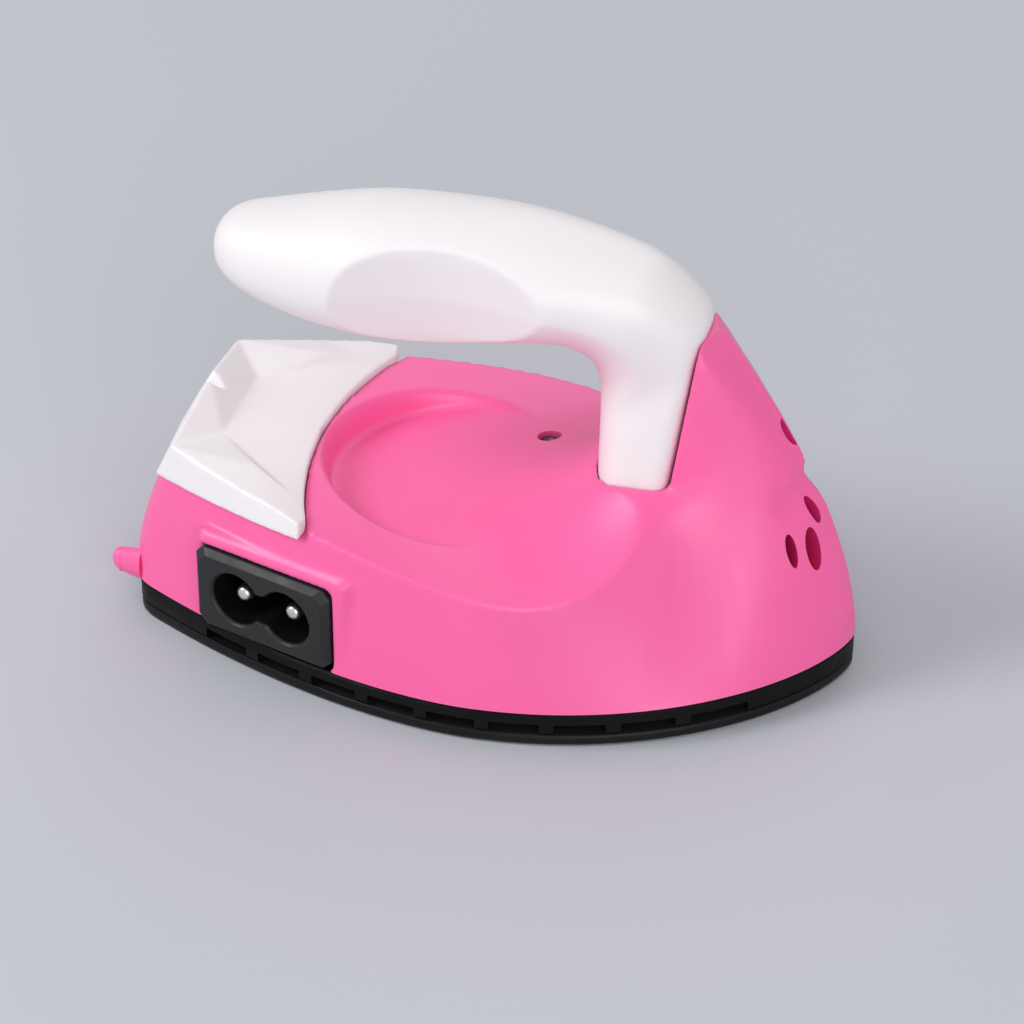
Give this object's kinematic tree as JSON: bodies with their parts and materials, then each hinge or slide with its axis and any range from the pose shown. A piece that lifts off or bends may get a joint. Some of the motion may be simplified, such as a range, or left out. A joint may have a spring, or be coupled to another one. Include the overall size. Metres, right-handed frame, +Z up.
{
  "type": "mini heat press",
  "caption": "Small handheld heat press: a leaf-shaped heated sole, a pink body that sweeps up behind a pointed nose, a white loop grip and a mains inlet in its side.",
  "frame": {"origin": "middle of the press's box, on the plane that the sole stands on", "axes": "+X towards the pointed nose, +Z up through the grip; the mains inlet is on the -Y side"},
  "size_m": [0.1079, 0.0628, 0.066],
  "materials": {
    "coated_sole": "dark non-stick coating over cast aluminium",
    "black_plastic": "moulded, fine matt",
    "pink_plastic": "moulded, satin",
    "white_plastic": "moulded, satin",
    "plated_metal": "nickel plated",
    "lens": "clear red-brown moulded lens",
    "circuit_board": "green glass-fibre board",
    "heater_case": "extruded",
    "spring_steel": "rolled sheet",
    "mica": "pressed mica sheet",
    "ceramic": "fired, unglazed",
    "wire_sleeve": "woven glass-fibre sleeve",
    "screw_steel": "zinc plated"
  },
  "bodies": {
    "root": {"soleplate": "coated_sole", "base_ring": "black_plastic", "body_shell": "pink_plastic", "rear_cover": "white_plastic", "handle_left": "white_plastic", "handle_right": "white_plastic", "inlet_body": "black_plastic", "inlet_pin_left": "plated_metal", "inlet_pin_right": "plated_metal", "indicator_lens": "lens", "indicator_lamp": "lens", "indicator_board": "circuit_board", "ptc_heater": "heater_case", "heater_clamp": "spring_steel", "thermal_fuse": "plated_metal", "fuse_clip": "spring_steel", "heat_shield": "mica", "sole_spacer_1": "ceramic", "sole_spacer_2": "ceramic", "sole_spacer_3": "ceramic", "live_lead": "wire_sleeve", "neutral_lead": "wire_sleeve", "fuse_lead": "wire_sleeve", "lamp_lead_live": "wire_sleeve", "lamp_lead_neutral": "wire_sleeve", "sole_screw_1": "screw_steel", "sole_screw_2": "screw_steel", "sole_screw_3": "screw_steel", "body_screw_left": "screw_steel", "body_screw_right": "screw_steel", "cover_screw_left": "screw_steel", "cover_screw_right": "screw_steel", "foot_screw_left": "screw_steel", "foot_screw_right": "screw_steel", "handle_screw_rear": "screw_steel", "handle_screw_front": "screw_steel", "clamp_screw_left": "screw_steel", "clamp_screw_right": "screw_steel"}
  },
  "joints": []
}
